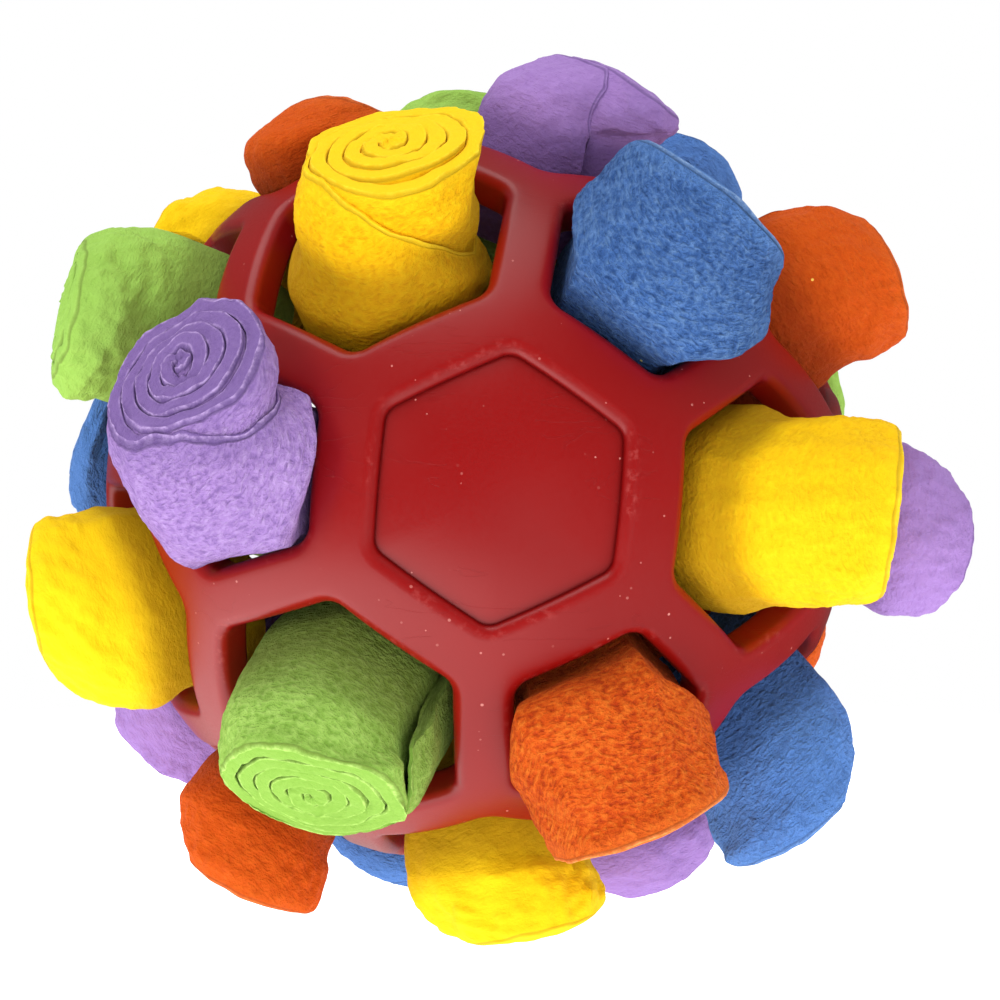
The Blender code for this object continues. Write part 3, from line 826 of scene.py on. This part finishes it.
def fleeceMaterial(name, look):
    # a ramp of three colours over the pile's height, then painted light from the colour's lighter copy where
    # the pile is less brushed, then the cut edges, ridges, shade and lint over it
    relief = pile["relief"] * look["relief"]
    look = {key: screen(*value) for key, value in look.items() if key != "relief"}
    material, tree, shader = startMaterial(name)
    place = node(tree, "ShaderNodeTexCoord").outputs["Object"]
    strip = node(tree, "ShaderNodeUVMap", uv_map="strip").outputs[0]
    cut, ridge, shade, brushed = (attribute(tree, key) for key in ("cut", "ridge", "shade", "brushed"))

    # brushed pile: short wavy ridges that run along the strip, then small nubs, then broad patches
    combed = node(tree, "ShaderNodeMapping", {"Vector": strip, "Scale": pile["combed"]}).outputs[0]
    combed = noise(combed, 1, *pile["combedNoise"])
    nubs = noise(place, *pile["nubs"])
    patches = noise(place, pile["patchScale"])
    fibres = noise(place, pile["fibreScale"])
    nubShare, patchShare, middle = pile["nubShare"], pile["patchShare"], pile["stops"]["base"]
    height = product(combed, 1 - nubShare)
    height = sums("ADD", height, product(nubs, nubShare))
    shown = product(height, 1 - patchShare)
    shown = sums("ADD", shown, product(patches, patchShare))
    shown = product(sums("SUBTRACT", shown, middle), brushed)
    shown = sums("ADD", shown, middle)

    ramp = node(tree, "ShaderNodeValToRGB", {"Fac": shown})
    ramp.color_ramp.elements.new(middle)
    for step, (key, position) in zip(ramp.color_ramp.elements, pile["stops"].items()):
        step.position, step.color = position, look[key]
    ridge = product(ridge, ranged(nubs, *pile["ridgeWear"]))
    distance, *dice = cells(place, pile["lintScale"])
    lint = sums("LESS_THAN", distance, pile["lintSize"])
    lint = product(lint, sums("GREATER_THAN", dice[1], pile["lintFrom"]))
    # painted light: the colour's lighter copy, as far as the pile is not brushed
    factors = {"paintedLight": sums("SUBTRACT", 1.0, brushed), "cut": cut, "ridge": ridge}
    factors = factors | {"shade": shade, "lint": lint}
    colour = layered(ramp.outputs["Color"], factors, pile["shares"], look)
    tree.links.new(colour, shader.inputs["Base Color"])

    uncut = sums("SUBTRACT", 1.0, product(cut, pile["cutRelief"]))
    height = product(height, uncut)
    height = sums("ADD", height, product(fibres, pile["fibreRelief"]))
    height = product(height, brushed)
    bump = node(tree, "ShaderNodeBump", {"Strength": 1.0, "Distance": relief, "Height": height}).outputs[0]
    tree.links.new(bump, shader.inputs["Normal"])
    for key, value in (pile["surface"] | {"Sheen Tint": look["light"]}).items():
        shader.inputs[key].default_value = value
    return material


fleece = {colour: fleeceMaterial(f"{colour}_polar_fleece", look) for colour, look in fleeceColours.items()}
ringEnds = (0.28, 0.47, 0.67, 1)                     # shares of the half turn from the front to the back
openFaces = [face for face in faces if not face["isPanel"]]
for number, (ring, places) in enumerate(rollPlaces.items()):
    start = ringEnds[number - 1] if number else 0
    held = [face for face in openFaces if start <= math.acos(-face["out"][1]) / math.pi < ringEnds[number]]
    held.sort(key=lambda face: math.atan2(face["out"][0], face["out"][2]) % math.tau)
    for index, (face, place) in enumerate(zip(held, places), start=1):
        colour = place[0]
        cadName = f"{ring}_roll_{index}_{colour}"
        winding = (roll["soft"] if ring in ("fore", "aft") else {}) | windings.get(f"{ring}_{index}", {})
        *shape, flat = rollStrip(face, place[1:], winding, 100 * number + 10 * index)
        strip = addRoll(f"fleece_{ring}_{index}_{colour}", *shape, fleece[colour])
        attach(strip, cadName)
        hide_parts(cadName)
    print(ring, "rolls:", len(held))


studio = {
    "floorRadius": 0.3, "floorSides": 96, "floor": (0.8, 0.8, 0.8, 1), "floorRoughness": 0.8,
    # distance from the middle, near and far, then the value at each: how far the floor is a plain glow
    # and not a lit surface, how strong that glow is, and what the rubber mirrors round a middle of its own
    "floorFade": (0.03, 0.2, 0.6, 1), "floorGlow": (0.16, 0.3, 2.7, 1), "sheen": (0.0, 0.19, 3.0, 0.05),
    "sheenMiddle": (-0.11, -0.08, 0),
    # how bright the world is in front of the ball and elsewhere, and what share of it the rubber mirrors
    "world": (-0.8, 0, 0.4, 1.0), "worldMirrored": 0.13,
}

lights = {
    "overhead": {"place": (-0.15, -0.2, 0.75), "aim": (0, 0, 0.05), "size": 0.7, "watts": 2.2},
    "keyLow": {
        "place": (-0.5, -0.62, 0.3), "aim": (0, 0, 0.05), "size": 0.3, "watts": 1.4, "glossy": False,
    },
    "fillRight": {
        "place": (0.22, -0.8, -0.02), "aim": (0, 0, 0.06), "size": 0.4, "watts": 1.2, "glossy": False,
    },
}


def floorDisc():
    # one flat disc under the object: floor radius * (cos, sin, 0)
    sides = studio["floorSides"]
    angle = np.linspace(0, math.tau, sides, endpoint=False)
    edge = studio["floorRadius"] * np.stack([np.cos(angle), np.sin(angle), 0 * angle], -1)
    material, tree, shader = startMaterial("pale_floor")
    shader.inputs["Base Color"].default_value = studio["floor"]
    shader.inputs["Roughness"].default_value = studio["floorRoughness"]
    place = node(tree, "ShaderNodeTexCoord").outputs["Object"]
    mirrored = node(tree, "ShaderNodeLightPath").outputs["Is Glossy Ray"]
    distance = node(tree, "ShaderNodeVectorMath", {0: place}, operation="LENGTH").outputs["Value"]
    fade = ranged(distance, *studio["floorFade"], curve="SMOOTHSTEP")
    strength = ranged(distance, *studio["floorGlow"])
    distance = {0: place, 1: studio["sheenMiddle"]}
    distance = node(tree, "ShaderNodeVectorMath", distance, operation="DISTANCE").outputs["Value"]
    sheen = ranged(distance, *studio["sheen"], curve="SMOOTHSTEP")
    strength = ranged(mirrored, 0, 1, strength, sheen)
    fade = sums("MAXIMUM", fade, mirrored)
    glow = node(tree, "ShaderNodeEmission", {"Color": (1, 1, 1, 1), "Strength": strength}).outputs[0]
    both = node(tree, "ShaderNodeMixShader", {0: fade, 1: shader.outputs[0], 2: glow}).outputs[0]
    tree.links.new(both, tree.nodes["Material Output"].inputs["Surface"])
    return addPiece("floor", edge, [range(sides)], material)


floor = floorDisc()


def addLight(name, light):
    # a round lamp that looks from its place at its aim
    data = bpy.data.lights.new(name, "AREA")
    data.shape, data.size, data.energy = "DISK", light["size"], light["watts"]
    lamp = bpy.data.objects.new(name, data)
    bpy.context.scene.collection.objects.link(lamp)
    place, aim = np.array(light["place"]), np.array(light["aim"])
    lamp.location = place
    lamp.rotation_euler = Vector(aim - place).to_track_quat("-Z", "Y").to_euler()
    lamp.visible_glossy = light.get("glossy", True)


for lightName, light in lights.items():
    addLight(lightName, light)

world = bpy.data.worlds.new("soft_studio")
world.use_nodes = True
bpy.context.scene.world = world
tree = world.node_tree
path = node(tree, "ShaderNodeLightPath").outputs
ahead = {0: node(tree, "ShaderNodeTexCoord").outputs["Generated"]}
ahead = node(tree, "ShaderNodeSeparateXYZ", ahead).outputs[1]
strength = ranged(ahead, *studio["world"])
mirrored = ranged(path["Is Glossy Ray"], 0, 1, 1, studio["worldMirrored"])
strength = product(strength, mirrored)
strength = ranged(path["Is Camera Ray"], 0, 1, strength, 1.0)
tree.links.new(strength, tree.nodes["Background"].inputs["Strength"])
tree.nodes["Background"].inputs["Color"].default_value = (1, 1, 1, 1)
bpy.context.scene.view_settings.view_transform = "Standard"
print("floor and light set")
